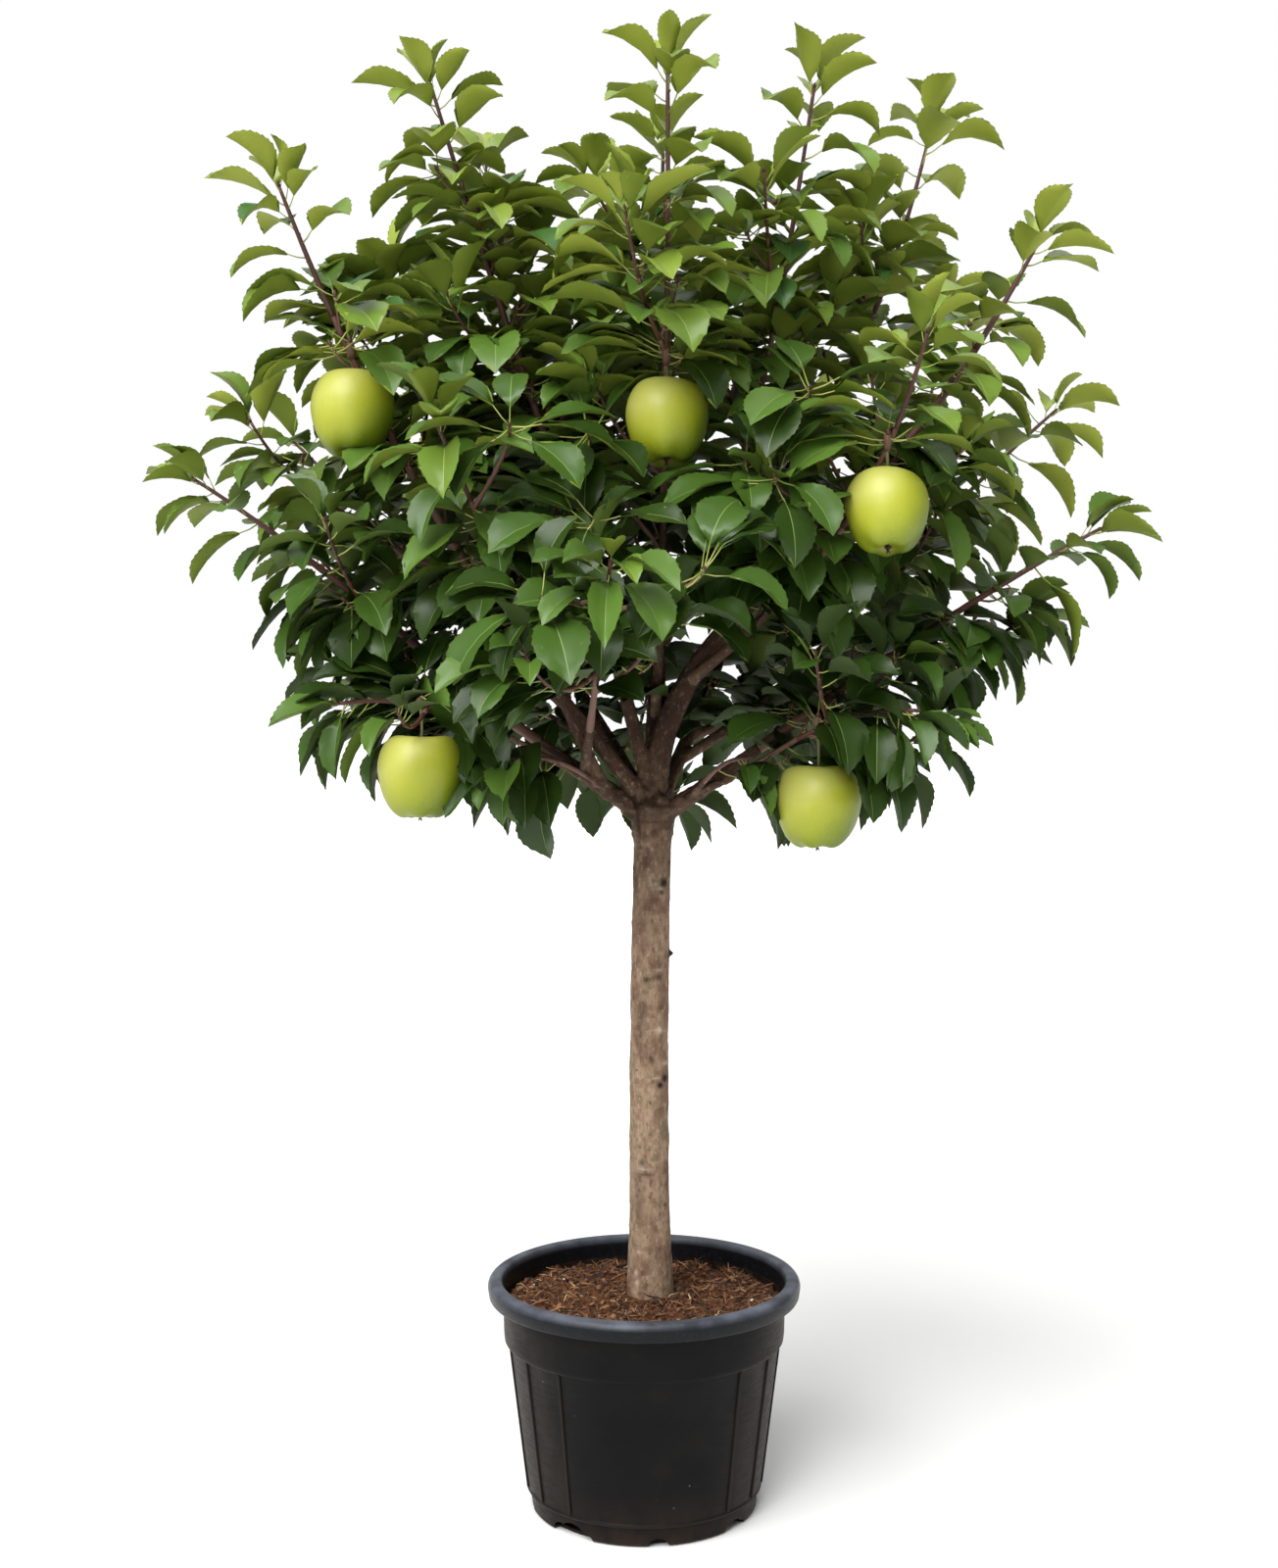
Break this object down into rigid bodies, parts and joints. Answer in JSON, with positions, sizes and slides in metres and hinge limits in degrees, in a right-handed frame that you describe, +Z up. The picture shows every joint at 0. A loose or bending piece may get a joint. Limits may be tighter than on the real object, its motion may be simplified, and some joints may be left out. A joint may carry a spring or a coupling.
{
  "type": "potted dwarf apple tree",
  "caption": "Dwarf apple tree grown as a standard: straight bare trunk, round leafy crown of rising shoots hung with green apples, in a round black nursery pot filled with bark compost.",
  "frame": {"origin": "centre of the pot's flat underside", "axes": "+Z up along the trunk, -Y towards the front, +X to the right as seen from the front"},
  "size_m": [0.9758, 0.8253, 1.3883],
  "materials": {
    "pot": "moulded black polypropylene, dull, lightly scratched and dusty",
    "soil": "loose damp bark compost",
    "bark": "grey-brown bark, rough",
    "foliage": "green leaves with a soft sheen on reddish brown twigs, and yellow-green apples"
  },
  "bodies": {
    "root": {"pot": "pot", "soil": "soil", "trunk": "bark", "bough_far_left": "bark", "bough_far_right": "bark", "bough_front_left": "bark", "bough_front_low": "bark", "bough_front_right": "bark", "bough_left_rear": "bark", "bough_left_upper": "bark", "bough_low_left": "bark", "bough_low_right": "bark", "bough_rear_left": "bark", "bough_rear_low_left": "bark", "bough_rear_low_right": "bark", "bough_rear_right": "bark", "bough_right": "bark", "bough_right_rear": "bark", "bough_right_upper": "bark", "bough_skirt_left": "bark", "bough_skirt_rear": "bark", "bough_skirt_right": "bark", "bough_top": "bark", "bough_top_front": "bark", "bough_upper_left": "bark", "bough_upper_right": "bark", "foliage_far_left": "foliage", "foliage_far_right": "foliage", "foliage_front_left": "foliage", "foliage_front_low": "foliage", "foliage_front_right": "foliage", "foliage_left_rear": "foliage", "foliage_left_upper": "foliage", "foliage_low_left": "foliage", "foliage_low_right": "foliage", "foliage_rear_left": "foliage", "foliage_rear_low_left": "foliage", "foliage_rear_low_right": "foliage", "foliage_rear_right": "foliage", "foliage_right": "foliage", "foliage_right_rear": "foliage", "foliage_right_upper": "foliage", "foliage_skirt_left": "foliage", "foliage_skirt_rear": "foliage", "foliage_skirt_right": "foliage", "foliage_top": "foliage", "foliage_top_front": "foliage", "foliage_upper_left": "foliage", "foliage_upper_right": "foliage"}
  },
  "joints": []
}
